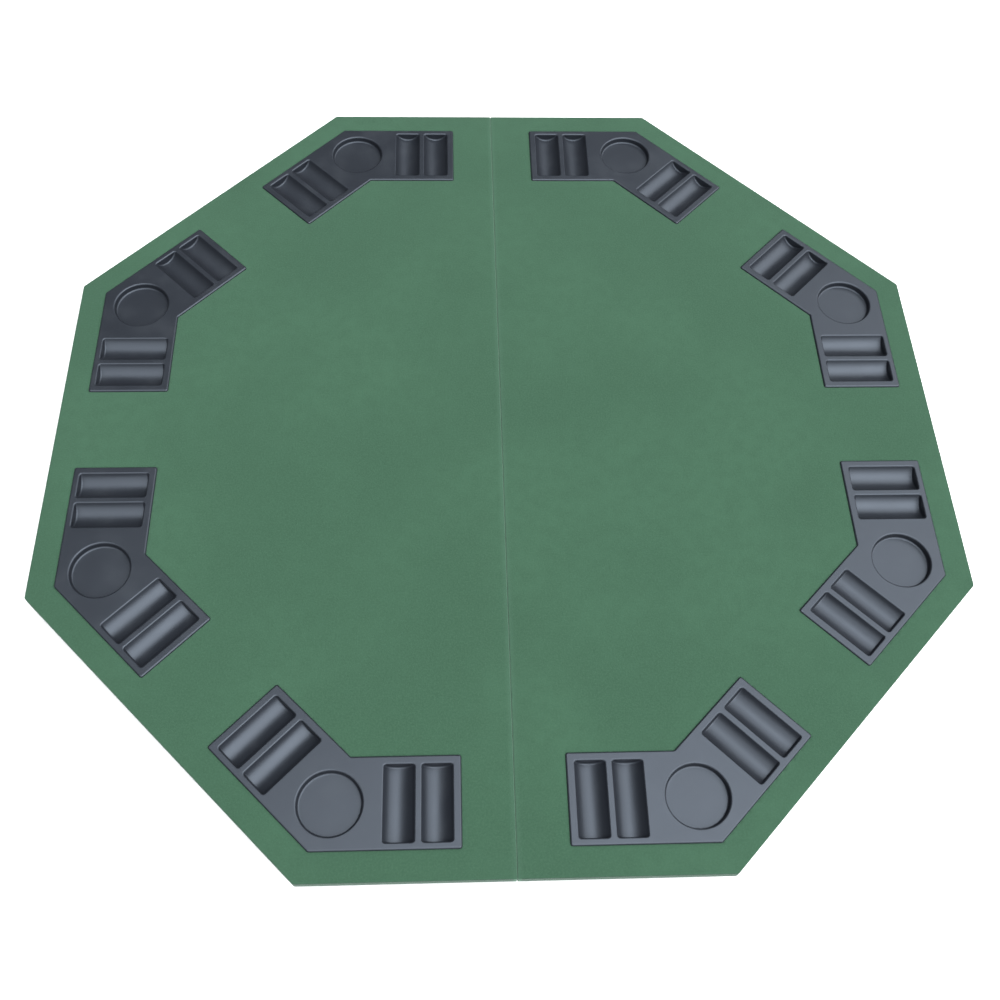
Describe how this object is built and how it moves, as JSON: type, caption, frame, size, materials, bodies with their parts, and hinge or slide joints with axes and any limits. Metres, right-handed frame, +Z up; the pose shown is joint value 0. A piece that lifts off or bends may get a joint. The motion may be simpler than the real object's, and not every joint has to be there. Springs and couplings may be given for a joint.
{
  "type": "folding poker table top",
  "caption": "Octagonal felt-covered card table top that folds in half, with a moulded cup and chip tray let in at each corner.",
  "frame": {"origin": "on the surface that the feet stand on, under the middle of the seam", "axes": "+Z up out of the playing side, +Y along the seam, +X across it towards the half that folds"},
  "size_m": [1.2, 1.2, 0.0237],
  "materials": {
    "felt": "short green felt nap",
    "board": "fibreboard, painted matt black underneath, raw brown in the cut-outs",
    "tray_plastic": "vacuum-formed black plastic, satin",
    "hinge_steel": "black, semi-gloss",
    "screw_steel": "zinc plated",
    "staple_steel": "galvanised",
    "foot_rubber": "matt"
  },
  "bodies": {
    "left_half": {"left_board": "board", "left_felt": "felt", "left_feet": "foot_rubber", "left_foot_screws": "screw_steel", "left_hinge_screws": "screw_steel", "left_staples": "staple_steel", "tray_3": "tray_plastic", "tray_4": "tray_plastic", "tray_5": "tray_plastic", "tray_6": "tray_plastic", "hinge_1_left_leaf": "hinge_steel", "hinge_2_left_leaf": "hinge_steel", "hinge_3_left_leaf": "hinge_steel", "hinge_1_pin": "hinge_steel", "hinge_2_pin": "hinge_steel", "hinge_3_pin": "hinge_steel"},
    "right_half": {"right_board": "board", "right_felt": "felt", "right_feet": "foot_rubber", "right_foot_screws": "screw_steel", "right_hinge_screws": "screw_steel", "right_staples": "staple_steel", "tray_1": "tray_plastic", "tray_2": "tray_plastic", "tray_7": "tray_plastic", "tray_8": "tray_plastic", "hinge_1_right_leaf": "hinge_steel", "hinge_2_right_leaf": "hinge_steel", "hinge_3_right_leaf": "hinge_steel"}
  },
  "joints": [
    {"name": "fold", "type": "hinge", "parent": "left_half", "child": "right_half", "pos_m": [0, 0, 0.0048], "axis": [0, 1, 0], "range_deg": [0, 178.9]}
  ]
}
